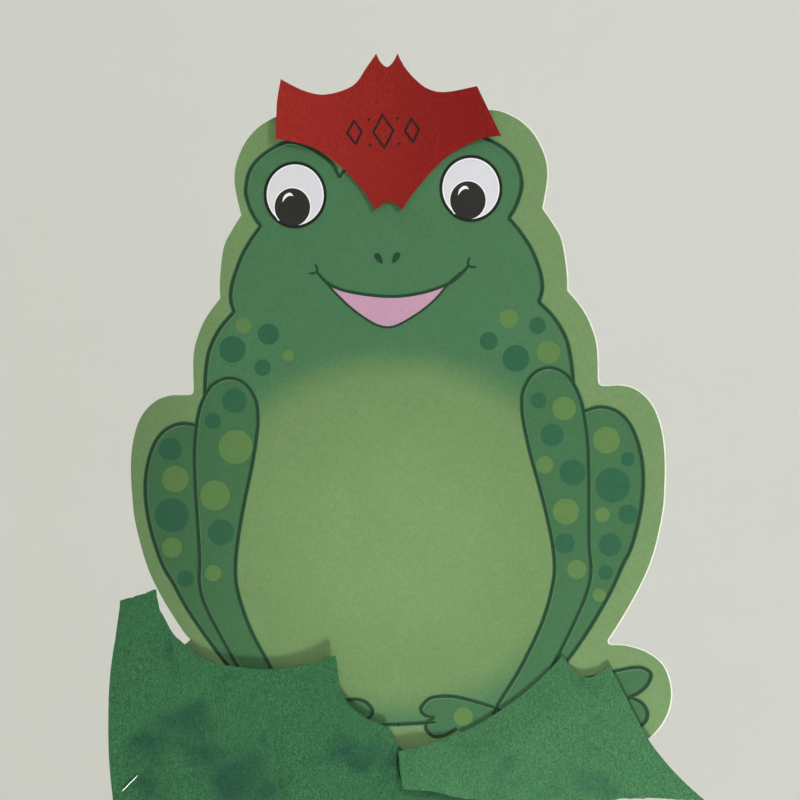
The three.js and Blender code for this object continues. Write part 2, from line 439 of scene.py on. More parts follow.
def whiteCore():
    core = Recipe("whiteCore", 0.7, 0.2)
    tone = core.ranged(core.cloud(700, 3), 0.3, 0.7)
    leftRimShade = core.ranged(core.axis("X"), -0.02, -0.07, 0.0, 0.75)    # painted shade: the left cut edge darker, as it faces away from the lamps
    colour = core.blend(tone, paint(222, 226, 206), paint(240, 242, 228))
    return core.finish(core.blend(leftRimShade, colour, paint(72, 92, 60)),
                       core.cloud(2500, 2), 0.2, 0.0001)


def fibrePaper(name, tone, darkTone, lightTone, stainAndShade=None, lean=0.0, calm=0.45, relief=0.6):
    # construction paper: felted fibres, pin-head pits and, where asked, one more colour step: soaked stains
    # on the leaves, painted light and shade on the crown
    paper = Recipe(name, 0.93, 0.12)
    colour, dark, light = paint(*tone), paint(*darkTone), paint(*lightTone)
    long = paper.stretched((1500, 900, 330), rotation=(0, lean, 0))
    fibre = paper.cloud(1.0, 5, 0.65, long, 1.2)
    felt = paper.cloud(900, 4, 0.65)
    slow = paper.ranged(paper.cloud(26, 4), 0.3, 0.7)
    share = paper.ranged(paper.plus(paper.times(fibre, 0.5),
                                     paper.times(felt, 0.5)), 0.42, 0.58)
    mixed = paper.blend(share, dark, light)
    mixed = paper.blend(paper.ranged(slow, 0, 1, calm - 0.2, calm + 0.2), mixed, colour)
    if stainAndShade:
        mixed = stainAndShade(paper, mixed)
    pits = paper.ranged(paper.cloud(900, 2, 0.5), 0.66, 0.72)
    mixed = paper.blend(paper.times(pits, 0.35), mixed, light)
    tufts = paper.ranged(paper.cloud(480, 4, 0.7, distortion=2.5), 0.54, 0.68)
    mixed = paper.blend(paper.times(tufts, 0.35), mixed, light)
    hollows = paper.ranged(paper.cloud(620, 4, 0.7, distortion=2.5), 0.42, 0.34)
    mixed = paper.blend(paper.times(hollows, 0.3), mixed, dark)
    height = paper.plus(paper.plus(fibre, felt), tufts)
    return paper.finish(mixed, height, relief, 0.0005)


soakedPatches = [
    # x, z, half width, half height in mm, strength
    (-125, -42, 13, 10, 0.7), (-147, -54, 15, 10, 0.75), (-116, -60, 16, 9, 0.75),
    (-102, -77, 17, 12, 0.8), (-148, -76, 13, 9, 0.6), (-83, -58, 3.5, 9, 0.6),
    (-82, -86, 8, 10, 0.7), (-31, -63, 20, 7, 0.65), (-4, -72, 14, 10, 0.7),
    (28, -86, 26, 10, 0.5), (-97, -18, 6, 6, 0.4), (-131, 0, 5, 9, 0.4),
]


def soakedStain(paper, mixed):
    # dark teal patches where glue or water has soaked in
    stray = paper.vector("ADD", paper.drift(38.0, 6.0, 0.6), (-0.5, -0.5, -0.5))
    place = paper.vector("ADD", paper.place, paper.vector("MULTIPLY", stray, (0.045, 0, 0.045)))
    share = None
    for x, z, wide, high, strength in soakedPatches:
        away = paper.vector("ADD", place, (-x * mm, 0, -z * mm))
        away = paper.vector("MULTIPLY", away, (1 / (wide * mm), 0, 1 / (high * mm)))
        patch = paper.ranged(paper.length(away), 0.0, 1.75, strength, 0.0)
        share = paper.maths("MAXIMUM", share, patch) if share else patch
    return paper.blend(share, mixed, paint(33, 74, 62))


def faintStain(paper, mixed):
    cloud = paper.cloud(24, 4, 0.6, distortion=0.5)
    share = paper.times(paper.ranged(cloud, 0.52, 0.66), 0.55)
    return paper.blend(share, mixed, paint(46, 92, 74))


def wingLightAndShade(paper, mixed):
    # painted light and shade: the left wing lighter and the right wing darker, as the left one faces the
    # lamps more
    rightShadeShare = paper.ranged(paper.axis("X"), -0.055, 0.060)
    wash = paper.blend(rightShadeShare, (1.12, 1.3, 1.2, 1), (0.86, 0.72, 0.74, 1))
    return paper.blend(1.0, mixed, wash, "MULTIPLY")


def kraftPaper(name, deep=1.0):
    # deep scales every brown; a value under 1 is painted shade
    def brown(*tone):
        return scaled(paint(*tone), deep)

    kraft = Recipe(name, 0.82, 0.22)
    ribs = kraft.cloud(1.0, 3, 0.6, kraft.stretched((2600, 300, 160)))
    fibre = kraft.cloud(1.0, 5, 0.7, kraft.stretched((700, 700, 240)), 1.2)
    slow = kraft.ranged(kraft.cloud(22, 4), 0.3, 0.7)
    tone = kraft.blend(slow, brown(170, 131, 88), brown(184, 145, 101))
    share = kraft.ranged(kraft.plus(kraft.times(ribs, 0.45),
                                     kraft.times(fibre, 0.55)), 0.36, 0.64)
    darker = kraft.blend(1.0, tone, (0.84, 0.83, 0.8, 1), "MULTIPLY")
    mixed = kraft.blend(share, darker, tone)
    fleck = kraft.ranged(kraft.cloud(640, 3, 0.7), 0.66, 0.72)
    mixed = kraft.blend(kraft.times(fleck, 0.5), mixed, brown(120, 86, 54))
    stray = kraft.vector("MULTIPLY", kraft.drift(30.0, 3.0), (0.02, 0.02, 0.02))
    bent = kraft.vector("ADD", kraft.stretched((1, 1, 0.6)), stray)
    crease = kraft.add("ShaderNodeTexVoronoi", {"Vector": bent, "Scale": 24.0},
                       feature="DISTANCE_TO_EDGE").outputs["Distance"]
    soft = kraft.ranged(crease, 0.0, 0.07)
    worn = kraft.ranged(kraft.cloud(38, 3), 0.38, 0.66)
    rub = kraft.times(kraft.ranged(soft, 0.0, 0.5, 1.0, 0.0), worn)
    mixed = kraft.blend(kraft.times(rub, 0.22), mixed, brown(205, 170, 128))
    height = kraft.plus(kraft.times(soft, 0.6), kraft.times(fibre, 0.35))
    return kraft.finish(mixed, height, 0.4, 0.0006)


def foamTape(name):
    foam = Recipe(name, 0.7, 0.3)
    cells = foam.add("ShaderNodeTexVoronoi", {"Vector": foam.place, "Scale": 2600.0}).outputs["Distance"]
    tone = foam.ranged(foam.cloud(300, 3), 0.3, 0.7)
    return foam.finish(foam.blend(tone, paint(224, 220, 208), paint(238, 236, 226)),
                       cells, 0.4, 0.0002)


def stapleWire():
    wire = Recipe("stapleWire", 0.34, 0.5)
    wire.surface.inputs["Metallic"].default_value = 1.0
    middle = wire.length(wire.stretched((1, 0.2, 1), move=(0.1587, 0, 0.0761)))
    rust = wire.times(wire.ranged(middle, 0.0010, 0.0022, 1.0, 0.0),
                      wire.ranged(wire.cloud(1300, 4, 0.7), 0.35, 0.6))
    streak = wire.ranged(wire.cloud(1800, 3), 0.3, 0.7)
    steel = wire.blend(streak, paint(222, 222, 218), paint(240, 240, 236))
    return wire.finish(wire.blend(rust, steel, paint(120, 74, 40)),
                       wire.cloud(2500, 2), 0.2, 0.0001,
                       wire.ranged(rust, 0, 1, 0.36, 0.85))


ink = {"skin": printedInk("frogSkin", None, 0.11, under=skinColour)}
for inkName, (inkTone, inkGrain) in frogInk.items():
    ink[inkName] = printedInk(inkName + "Ink", inkTone, inkGrain)
boardBackPaper = boardBack()
whiteCorePaper = whiteCore()
crownPaper = fibrePaper("crownPaper", (145, 35, 31), (126, 28, 25), (160, 44, 38), wingLightAndShade,
                        calm=0.6, relief=0.25)
crownCut = fibrePaper("crownCut", (196, 92, 78), (176, 72, 62), (214, 120, 104))
leftLeafPaper = fibrePaper("leftLeafPaper", (58, 111, 72), (44, 93, 58), (71, 126, 85), soakedStain,
                           lean=0.9, calm=0.3, relief=0.8)
leftLeafCut = fibrePaper("leftLeafCut", (104, 152, 118), (84, 132, 98), (138, 180, 150))
rightLeafPaper = fibrePaper("rightLeafPaper", (71, 124, 82), (57, 108, 69), (84, 139, 95), faintStain,
                            lean=0.6, calm=0.3, relief=0.8)
rightLeafCut = fibrePaper("rightLeafCut", (112, 160, 124), (92, 140, 104), (146, 188, 156))
kraftOuter = kraftPaper("kraftOuter")
# painted shade: the same kraft paper, 7% darker, for the pieces inside the bag and folded in
kraftShadedInner = kraftPaper("kraftShadedInner", 0.93)
tapeFoam = foamTape("tapeFoam")
stapleSteel = stapleWire()
print("materials made")


studio = {
    "aim": (5.05, 137.6),      # middle of the picture on the card, mm in x and z
    "frameWidth": 460,         # mm across the picture at the card
    "lens": 100,
    "roll": 2.26,
    "floor": -1.4,
    "coveRadius": 4.0,
    "wallTop": 2.6,
    "air": 0.87,
}


def makeCamera():
    distance = studio["frameWidth"] * mm * studio["lens"] / 36
    bpy.ops.object.camera_add(
        location=(studio["aim"][0] * mm, puppetCard["face"] * mm - distance, studio["aim"][1] * mm),
        rotation=(math.radians(90), 0, 0))
    camera = bpy.context.object
    camera.name = "puppetCamera"
    camera.rotation_euler.rotate_axis("Z", math.radians(-studio["roll"]))
    camera.data.lens = studio["lens"]
    camera.data.sensor_width = 36
    camera.data.clip_end = 50
    bpy.context.scene.camera = camera


def makeLight(name, size, energy, place, colour=(1, 1, 1)):
    aim = Vector((0, 0, 0.12))
    bpy.ops.object.light_add(type="AREA", location=place)
    light = bpy.context.object
    light.name = name
    light.data.shape = "RECTANGLE"
    light.data.size, light.data.size_y = size
    light.data.energy = energy
    light.data.color = colour
    light.visible_camera = False
    light.rotation_euler = (aim - Vector(place)).to_track_quat("-Z", "Y").to_euler()


def makeStage():
    # a round cove, floor, soft corner and wall in one, so that every side has the same backdrop
    deselectAll()
    bpy.ops.mesh.primitive_uv_sphere_add(segments=96, ring_count=64, radius=studio["coveRadius"])
    cove = bpy.context.object
    cove.name = "studioCove"
    editAll(cove)
    bpy.ops.mesh.bisect(plane_co=(0, 0, studio["wallTop"]), plane_no=(0, 0, 1), clear_outer=True)
    bpy.ops.mesh.select_all(action="SELECT")
    bpy.ops.mesh.flip_normals()
    bpy.ops.object.mode_set(mode="OBJECT")
    for vert in cove.data.vertices:
        if vert.co.z < studio["floor"]:
            vert.co.z = studio["floor"]
    soften = cove.modifiers.new("soften", "SMOOTH")
    soften.iterations = 25
    bpy.ops.object.modifier_apply(modifier=soften.name)
    bpy.ops.object.shade_smooth()
    wash = Recipe("covePaint", 0.9, 0.1)
    axes = wash.add("ShaderNodeSeparateXYZ", {"Vector": wash.place}).outputs
    # painted light: the wall is paler towards plus x, where the lamps stand, with a faint random cloud on
    # top
    tone = wash.plus(wash.ranged(axes["X"], -1.0, 1.0, 0.0, 0.8),
                      wash.ranged(wash.cloud(1.2, 2), 0.3, 0.7, 0, 0.2))
    pale = wash.blend(tone, paint(243, 243, 238), paint(252, 253, 250))
    shaded = wash.ranged(axes["Y"], -2.2, 0.6, 1.0, 0.0)      # less light comes back from the near wall
    dress(cove, wash.finish(wash.blend(shaded, pale, paint(196, 196, 190))))
    world = bpy.data.worlds.new("studioAir")
    world.use_nodes = True
    world.node_tree.nodes["Background"].inputs["Color"].default_value = (1.0, 1.0, 0.985, 1)
    world.node_tree.nodes["Background"].inputs["Strength"].default_value = studio["air"]
    bpy.context.scene.world = world
    bpy.context.scene.view_settings.view_transform = "Standard"


makeCamera()
makeLight("windowHigh", (0.35, 0.35), 14, (1.15, -1.2, 0.95))
makeLight("windowLow", (0.2, 0.2), 16, (0.36, -0.55, -1.05))
makeLight("backFill", (1.5, 1.5), 16, (-1.0, 2.0, 1.2))
makeStage()
print("studio set")


dieCutHalf = [
    [(0, 280), (20, 284), (36, 296), (57, 303.5), (72, 299), (82.5, 289.5), (88.5, 277.5),
     (90.3, 268), (89.6, 259), (86.9, 246)],
    [(86.9, 246), (92.5, 237.5), (97.5, 227.5), (100, 210), (100.2, 198.5)],
    [(100.2, 198.5), (108, 188.5), (113, 178.5), (116.3, 166), (116.6, 147)],
    [(116.6, 147), (118.4, 143.6), (130, 143.4), (139, 140.2), (147, 132), (151.8, 119.5),
     (153.8, 104), (153.4, 85), (151.6, 68.5), (145.6, 45), (137.5, 27), (126.4, 8.3), (118.7, -3)],
    [(118.7, -3), (119.8, -5.4), (129, -6.2), (141, -10.5), (150.5, -19), (154.4, -34),
     (150.7, -48.7), (140, -60.8), (122, -67), (98, -66)],
    [(98, -66), (70, -63), (30, -66.5), (0, -66)],
]


def makeCard():
    mirrored = [mirrorRun(run) for run in reversed(dieCutHalf)]
    mirrored[1][-3:] = [(-131.5, -2), (-124.6, 0.6), (-122, 3.1)]    # the left foot starts a little higher
    mirrored[2][0] = (-122, 3.1)
    outline = traceRuns(dieCutHalf + mirrored)
    outline = turnPoints(outline, puppetCard["dieTurn"], shift=puppetCard["dieShift"])
    thick = puppetCard["thick"]
    card = cutPaper("frogCard", outline, puppetCard["face"] + thick, thick, thick * puppetCard["edgeRound"])
    dress(card, whiteCorePaper, boardBackPaper)
    for face in card.data.polygons:
        face.material_index = 1 if face.normal.y > 0.9 else 0
    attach(card, "head")
    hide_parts("frog_card")
    return outline


headLines = {
    "top": [(0, 276.5), (12, 275), (21, 270.5), (24.7, 266.5)],
    "brow": [(24.7, 266.5), (28, 273.5), (34.5, 279.5), (43, 284.7), (53, 287.7), (63, 284.6),
             (71.7, 279), (77.5, 271.5), (80, 261), (78.8, 253.5), (75.7, 245.8), (71.9, 240.1)],
    "cheek": [(71.9, 240.1), (78, 232.2), (84, 222.4), (88, 212), (89.7, 204), (89.6, 197.5),
              (87.6, 191.2)],
    "shoulder": [(87.6, 191.2), (96, 182), (102.3, 170.3), (104.9, 158), (106, 143.5)],
}
armLine = [(53.5, -45), (57.5, -38), (69.5, -20), (80.8, 1), (86.6, 15), (90.7, 30), (91.8, 40), (91, 52),
           (88.7, 66), (84.6, 85), (80.3, 102.5), (77, 120), (76, 130), (77, 140.5), (83, 150),
           (92.2, 153.4), (101, 150), (106, 143.5), (109.8, 134), (112, 122), (113.1, 108), (113.1, 90),
           (112.5, 70), (112, 50), (112.6, 36), (110, 24), (103, 8.5), (93, -10.5), (80, -32)]
legLine = [(111.2, 127), (120, 128.9), (129, 126.3), (136, 119.3), (140.8, 107.5), (143, 94),
           (142.6, 80), (140, 65), (135, 48.5), (129, 37), (121.3, 21.7), (109.5, 3), (98.5, -12),
           (88, -24)]
footLines = {
    "sole": [(61, -43), (56, -41), (46, -37.5), (34, -34.2), (25, -33.6), (18.5, -35), (14, -40),
             (16, -44), (21.5, -45.5)],
    "toe": [(21.5, -45.5), (17, -48.5), (16.8, -52.5), (21, -56), (27, -55.5), (34, -52)],
    "outerTop": [(100, -27), (112, -25.5), (122, -23.3), (136, -21.6), (142.8, -25.2), (141, -31.4),
                 (135, -36.5), (129.7, -38.2)],
    "outerLow": [(129.7, -38.2), (137.2, -42.2), (140.2, -49), (136.6, -54.6), (126, -56), (112, -53)],
}
groundLine = [(0, -48.8), (12, -48.6), (22, -48.2)]
spots = [
    # tone, x, z, radius in mm: shoulders, arms, legs, foot
    ("light", -83.3, 183.8, 4.7), ("dark", -69, 178.4, 6), ("dark", -90, 170.4, 7.6),
    ("light", -58.2, 165.6, 3.3), ("dark", -73.1, 159.3, 4.7),
    ("light", 69.3, 182, 5.5), ("dark", 85.8, 177.2, 4.8), ("dark", 57.4, 169.4, 5.1),
    ("dark", 72.6, 158.8, 7.6), ("light", 91.5, 161.8, 6.7),
    ("dark", -90.1, 140.9, 7.1), ("dark", -103, 129.7, 4.7), ("light", -90.4, 114.3, 9.8),
    ("light", -103.4, 87, 8.6), ("dark", -100.8, 65.6, 7.5), ("light", -106.2, 42.4, 4.7),
    ("dark", 84.6, 134.2, 4.6), ("light", 99.2, 129, 6.8), ("dark", 91.7, 114.1, 6.6),
    ("light", 86.7, 97.1, 5), ("dark", 102.5, 92.1, 7.5), ("light", 97.9, 69.8, 7.5),
    ("dark", 96.4, 51.5, 5.8), ("light", 102.8, 36.2, 5.5),
    ("dark", -128, 114.4, 6.6), ("light", -125.8, 97.4, 7.6), ("dark", -128.6, 76.5, 9.8),
    ("light", -129.3, 58, 5.8), ("dark", -122, 39.7, 4.7),
    ("light", 122.8, 109.9, 7.8), ("dark", 134.6, 98.3, 4), ("dark", 125.3, 83.8, 9.9),
    ("light", 118.7, 67.1, 4.3), ("dark", 133.6, 66.7, 5.6), ("dark", 122.4, 49.5, 6.5),
    ("dark", 119.3, 33.8, 4.2), ("light", 115.1, 21, 3.9), ("light", 34.2, -45.8, 5.5),
]
mouthLines = {
    "upper": [(-39.8, 213.1), (-33.1, 205.8), (-21.2, 200.8), (0.5, 197.3), (19, 198.4), (35.3, 203.1),
              (42.5, 208), (47.6, 213.3)],
    "lower": [(-36, 208.8), (-30, 201), (-21.6, 192.2), (-13.8, 185.8), (-6.5, 181.2), (0.6, 179.6),
              (7.6, 181.6), (18.5, 187.7), (27.5, 194.6), (36, 203.6), (43, 209.5)],
    "leftTick": [(-44.4, 212.6), (-42, 212.2), (-39.8, 213.3), (-39.6, 215.4), (-40.7, 217.7)],
    "rightTick": [(52, 212.3), (49.6, 212.2), (47.6, 213.5), (47.4, 215.6), (48.5, 217.9)],
}
eyes = [
    {"eye": (-50.5, 257.8), "pupil": (-52.4, 250.8)},
    {"eye": (50.6, 257.5), "pupil": (48.6, 250.8)},
]
eyeRings = [
    # name, what it is centred on, half width, half height in mm, steps, ink
    ("eyeRing", "eye", 18.1, 19.2, 80, "eyeBlack"),
    ("eyeRim", "eye", 16.4, 17.5, 80, "eyeRim"),
    ("eyeWhite", "eye", 15.7, 16.8, 80, "eyeWhite"),
    ("pupilRim", "pupil", 10.9, 11.6, 64, "eyeRim"),
    ("pupil", "pupil", 10.2, 10.9, 64, "pupil"),
]
nostril = {"places": ((-1, -3.9), (1, 5.9)), "height": 219.4, "lean": 33, "half": (1.75, 3.5), "drop": 0.55}
printLevel = {
    # how far in front of the card each layer lies, mm
    "torso": 0.06, "leg": 0.10, "foot": 0.12, "outerToes": 0.12, "arm": 0.14, "glow": 0.15, "spot": 0.17,
    "mouth": 0.17, "line": 0.20, "nostril": 0.20, "lip": 0.22, "eyeRing": 0.22, "eyeRim": 0.26,
    "eyeWhite": 0.28, "pupilRim": 0.30, "pupil": 0.34, "lid": 0.38, "glint": 0.38,
}


def turnedPrint(points):
    return turnPoints(points, puppetCard["printTurn"], pivot=(0, puppetCard["printPivot"]))


def printLayer(name, outline, material):
    piece = cutPaper(name, outline, puppetCard["face"] + 0.05, 0.05 + printLevel[name])
    dress(piece, ink[material])
    return piece


def brush(points, width, level, material="line", taper=(1, 1)):
    piece = inkStroke("stroke", points, width, puppetCard["face"] - printLevel[level], taper)
    dress(piece, ink[material])
    return piece


def tucked(x, z, side):
    # the left cheek and brow are printed a touch narrower than the right ones
    if side > 0:
        return x
    return -x * (1 - puppetCard["leftTuck"] * clamp((z - 191) / 25) * clamp((x - 40) / 30))


def makePrint(outline):
    torsoRight = (openRun(headLines["top"])[:-1] + openRun(headLines["brow"])[:-1]
                  + openRun(headLines["cheek"])[:-1] + openRun(headLines["shoulder"])
                  + [(112, 124), (112, 40), (100, 5), (80, -28), (56, -41), (22, -48.2), (12, -48.6)])
    torso = torsoRight + [(tucked(x, z, -1), z) for x, z in reversed(torsoRight[1:])]
    slip = puppetCard["printSlip"]
    halo = cutPaper("halo", [(x + slip[0], z + slip[1]) for x, z in outline],
                    puppetCard["face"] + 0.05, 0.065, inset=puppetCard["printInset"])
    dress(halo, ink["halo"])
    layers = [halo, printLayer("torso", turnedPrint(torso), "skin")]
    footSlip = puppetCard["footSlip"]
    for side in (1, -1):
        def half(points, slip=0.0, turn=True):
            points = [(tucked(x, z, side) + slip, z) for x, z in points]
            return turnedPrint(points) if turn else points
        leg = half(openRun(legLine) + [(80, -32), (108, 60)], turn=False)
        layers.append(printLayer("leg", leg, "limb"))
        layers.append(printLayer("arm", half(openRun(armLine) + [(76, -50), (56, -55)]), "limb"))
        foot = openRun(footLines["sole"])[:-1] + openRun(footLines["toe"]) + [(40, -58), (64, -58)]
        layers.append(printLayer("foot", half(foot, footSlip), "limb"))
        outer = openRun(footLines["outerTop"])[:-1] + openRun(footLines["outerLow"]) + [(96, -40)]
        layers.append(printLayer("outerToes", half(outer, turn=False), "limb"))
        paths = [half(openRun(line)) for line in (*headLines.values(), armLine)]
        paths += [half(openRun(footLines[k]), footSlip) for k in ("sole", "toe")]
        paths += [half(openRun(footLines[k]), turn=False) for k in ("outerTop", "outerLow")]
        paths += [half(openRun(legLine), turn=False), half(openRun(groundLine), footSlip)]
        for path in paths:
            layers.append(brush(path, 2.6, "glow", "lineGlow"))
            layers.append(brush(path, 1.75, "line"))
    for tone, x, z, radius in spots:
        layers.append(printLayer("spot", ellipse(x, z, radius, radius, 40), "spot" + tone.title()))
    upper, lower = openRun(mouthLines["upper"]), openRun(mouthLines["lower"])
    layers.append(printLayer("mouth", upper + lower[::-1], "mouth"))
    layers.append(brush(upper, 1.7, "lip", taper=(0.7, 0.7)))
    layers.append(brush(lower, 1.3, "lip", taper=(0.8, 0.8)))
    for tick in ("leftTick", "rightTick"):
        layers.append(brush(openRun(mouthLines[tick]), 1.2, "lip", taper=(0.6, 0.6)))
    for side, middle in nostril["places"]:
        drop = []
        for k in range(32):
            angle = 2 * math.pi * k / 32
            wide = nostril["half"][0] + nostril["drop"] * math.sin(angle)
            drop.append((wide * math.cos(angle), nostril["half"][1] * math.sin(angle)))
        drop = [(middle + x, nostril["height"] + z) for x, z in turnPoints(drop, -side * nostril["lean"])]
        layers.append(printLayer("nostril", drop, "line"))
    for pair in eyes:
        for name, centre, wide, high, count, material in eyeRings:
            layers.append(printLayer(name, ellipse(*pair[centre], wide, high, count), material))
        layers.append(brush(ellipse(*pair["eye"], 17.3, 18.4, 80)[52:76], 1.7, "lid", "eyeBlack"))
        glint = openRun([(-5.6, 3), (-4.9, 6), (-2.8, 8), (-0.6, 8.2), (0.9, 6.3)])
        glint += openRun([(0.9, 6.3), (-1.3, 6.6), (-3.5, 5.5), (-5.6, 3)])[1:-1]
        px, pz = pair["pupil"]
        layers.append(printLayer("glint", [(px + x, pz + z) for x, z in glint], "eyeRim"))
    print("print layers:", len(layers))
    printed = joinPieces("frogPrint", layers)
    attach(printed, "head")


makePrint(makeCard())
print("card and print made")


crown = {
    "thick": 0.3,
    "step": 4,
    "lift": 1.2,        # mm in front of the card at the middle
    "wings": 3.4,       # how far the side points curl up
    "outline": [
        [(-56, 324), (-43, 317), (-30.5, 314.5), (-15, 319), (-6.6, 329.3), (-0.8, 337)],
        [(-0.8, 337), (1.5, 332), (5, 329), (8.5, 331.5), (11.6, 336.5)],
        [(11.6, 336.5), (14.4, 330), (20.4, 322), (28.2, 315.5), (38.3, 313.2), (56.3, 315.7)],
        [(56.3, 315.7), (68.9, 286.5)],
        [(68.9, 286.5), (60, 286), (48, 281.8), (34.5, 273.7), (19, 257.9), (10.4, 246.5)],
        [(10.4, 246.5), (6.6, 250.6), (2.9, 251.6), (-1, 250), (-4.7, 247)],
        [(-4.7, 247), (-12.7, 260.2), (-25.8, 275), (-41.3, 285.2), (-60.2, 290)],
        [(-60.2, 290), (-59.5, 301), (-58.5, 312), (-56, 324)],
    ],
}


def crownForm(co):
    x, z = co.x / mm, co.z / mm
    droop = clamp((268 - z) / 22) ** 2 * 1.5
    sides = (abs(x - 4) / 62) ** 2 * crown["wings"] * clamp((z - 262) / 24)
    ripple = 0.35 * noise.noise(Vector((x * 0.035, 0, z * 0.05)) + Vector((3, 1, 7)))
    out = crown["lift"] + droop + sides + ripple
    return Vector((co.x, co.y + (puppetCard["face"] - out) * mm, co.z))


def makeCrown():
    sheet = paperSheet("paperCrown", traceRuns(crown["outline"], 5), crown["step"], crownForm,
                       crown["thick"], (crownPaper, crownCut))
    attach(sheet, "head")
    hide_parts("crown")
    marker = Recipe("markerInk", 0.6, 0.3)
    tone = marker.ranged(marker.cloud(900, 3), 0.35, 0.65)
    black = marker.finish(marker.blend(tone, paint(26, 14, 14), paint(44, 18, 17)))
    marks = []
    for middle, size in ((-15, 6.8), (1.5, 9.5), (18, 6.8)):
        gem = [(0, size), (size * 0.62, 0.4), (0.3, -size), (-size * 0.6, 0), (0.3, size + 0.7)]
        marks.append([(middle + x, 292 + z) for x, z in gem])
    for middle in (-6.6, 9.8):
        for height in (284.6, 299.2):
            marks.append([(middle + x, height + z) for x, z in ((-0.5, -0.3), (0.5, 0), (-0.2, 0.5))])
    strokes = []
    for mark in marks:
        path = []
        for a, b in zip(mark, mark[1:]):
            path += [(a[0] + (b[0] - a[0]) * k / 6, a[1] + (b[1] - a[1]) * k / 6) for k in range(6)]
        path.append(mark[-1])
        stroke = inkStroke("markerStroke", path, 1.4, 0, (0.85, 0.85))
        shapeBy(stroke, lambda co: crownForm(co) - Vector((0, (crown["thick"] / 2 + 0.04) * mm, 0)))
        strokes.append(stroke)
    marking = joinPieces("crownMarking", strokes)
    dress(marking, black)
    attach(marking, "head")


leaves = {
    "thick": 0.3,
    "step": 5,
    "left": [
        [(-159.8, 29), (-149, 31.5), (-138.8, 35)],
        [(-138.8, 35), (-137.5, 24), (-130, 8.8), (-121, 0), (-109, -8), (-95, -11.5), (-75.7, -13.7),
         (-56, -12), (-37.5, -7.2)],
        [(-37.5, -7.2), (-37.8, -18), (-33.5, -32.4), (-21.7, -43.8), (-8.7, -49.5)],
        [(-8.7, -49.5), (-6.6, -56.5), (2, -66), (14, -73)],
        [(14, -73), (34, -80), (52, -88.5), (60, -97)],
        [(60, -97), (30, -98), (-30, -98), (-80, -96.5), (-130, -97), (-168, -94)],
        [(-168, -94), (-170, -60), (-168.5, -25), (-164.9, 0.4), (-160.8, 17), (-159.8, 29)],
    ],
    "right": [
        [(92.8, -12.8), (80, -25), (64, -37.5), (43, -50), (20, -59), (-3.5, -63.5)],
        [(-3.5, -63.5), (-3.2, -74), (-1.8, -85)],
        [(-1.8, -85), (15, -87), (35, -92.6), (80, -98), (130, -96), (171, -99)],
        [(171, -99), (160, -88.4), (149, -75.8), (138, -59.5), (126, -34), (119.1, -19)],
        [(119.1, -19), (114.2, -23.3), (106.8, -25.8), (99.4, -23), (92.8, -12.8)],
    ],
}


def torn(path, strength, seed):
    dice = random.Random(seed)
    return [(x + dice.uniform(-strength, strength), z + dice.uniform(-strength, strength))
            for x, z in path]


def leftForm(co):
    x, z = co.x / mm, co.z / mm
    lift = 1.6 * clamp((z + 48) / 40) + 1.0 * clamp((z - 5) / 30) + 0.9 * clamp((x + 60) / 30)
    fold = 0.6 * noise.noise(Vector((x * 0.03, 4, z * 0.03))) + 0.25 * noise.noise(
        Vector((x * 0.09, 7, z * 0.09)))
    crease = 0.9 * math.exp(-((x + 76 + 0.12 * (z + 60)) / 2.5) ** 2) * clamp((-25 - z) / 25)
    under = 2.2 * clamp((x + 6) / 30)          # dips below the other leaf
    out = 2.2 + lift + fold - crease - under
    return Vector((co.x, co.y + (puppetCard["face"] - out) * mm, co.z))


def rightForm(co):
    # the upper edge dips to the card, and the left end rides over the other leaf
    x, z = co.x / mm, co.z / mm
    along = clamp((x + 3.5) / 96)
    edge = -63.5 + 50.7 * along - 7 * math.sin(math.pi * along)
    inner = clamp((edge - z) / 24)
    over = clamp((30 - x) / 22)
    fold = (0.5 * noise.noise(Vector((x * 0.03, 9, z * 0.035)))
            + 0.25 * noise.noise(Vector((x * 0.09, 3, z * 0.09)))) * inner
    out = 0.9 + 2.4 * inner + 3.2 * over + 1.0 * clamp((x - 135) / 40) + fold
    return Vector((co.x, co.y + (puppetCard["face"] - out) * mm, co.z))


def makeLeaf(word, form, tornRuns, materials, seed):
    path = []
    for k, run in enumerate(leaves[word]):
        fine = smoothRun(run, 24 if k in tornRuns else 6)
        path += torn(fine, 0.35 if k in tornRuns else 0.0, seed + k)
    sheet = paperSheet(word + "Leaf", path, leaves["step"], form, leaves["thick"], materials)
    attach(sheet, "head")
    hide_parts(word + "_leaf")
    return sheet


makeCrown()
makeLeaf("left", leftForm, (0,), (leftLeafPaper, leftLeafCut), 11)
makeLeaf("right", rightForm, (1, 2), (rightLeafPaper, rightLeafCut), 31)
print("crown and leaves made")

bag = {
    "width": 130,
    "gusset": 39.5,       # half of the bag's side
    "rimDepth": 40,
    "crease": 226,        # the mouth hinges here
    "apex": 258,          # front and back would meet here
    "flapHeight": 79,
    "topFold": 263,
    "flapInner": -29.0,
    "paper": 0.3,
    "tooth": 3.6,         # pinked rim, pitch and depth
    "toothDepth": 1.5,
    "thumbCut": 11,
    "step": 5,
    "wrinkle": 0.9,
    "sideTop": -38,       # the back and the sides end this far below the apex
    "rearCrease": 226.5,
    "creaseRoom": 2.4,    # the rear half of each side ends this far from its centre crease
    "lip": 4.2,           # the front half turns round the crease by this much at the rim
    "lipStart": 60,       # and by nothing this far below the apex
    "lipTurn": 70,
}
backLean = math.atan(bag["rimDepth"] / bag["apex"])
gussetFold = math.asin(math.tan(backLean / 2) * bag["apex"] / bag["gusset"])
frontFace = -bag["rimDepth"] / 2


def pinked(start, end, foot):
    # the zigzag that the bag machine's knife leaves along the rim
    count = max(2, round(abs(end - start) / bag["tooth"]))
    path = []
    for k in range(count):
        path.append((start + (end - start) * k / count, foot))
        path.append((start + (end - start) * (k + 0.5) / count, foot + bag["toothDepth"]))
    return path


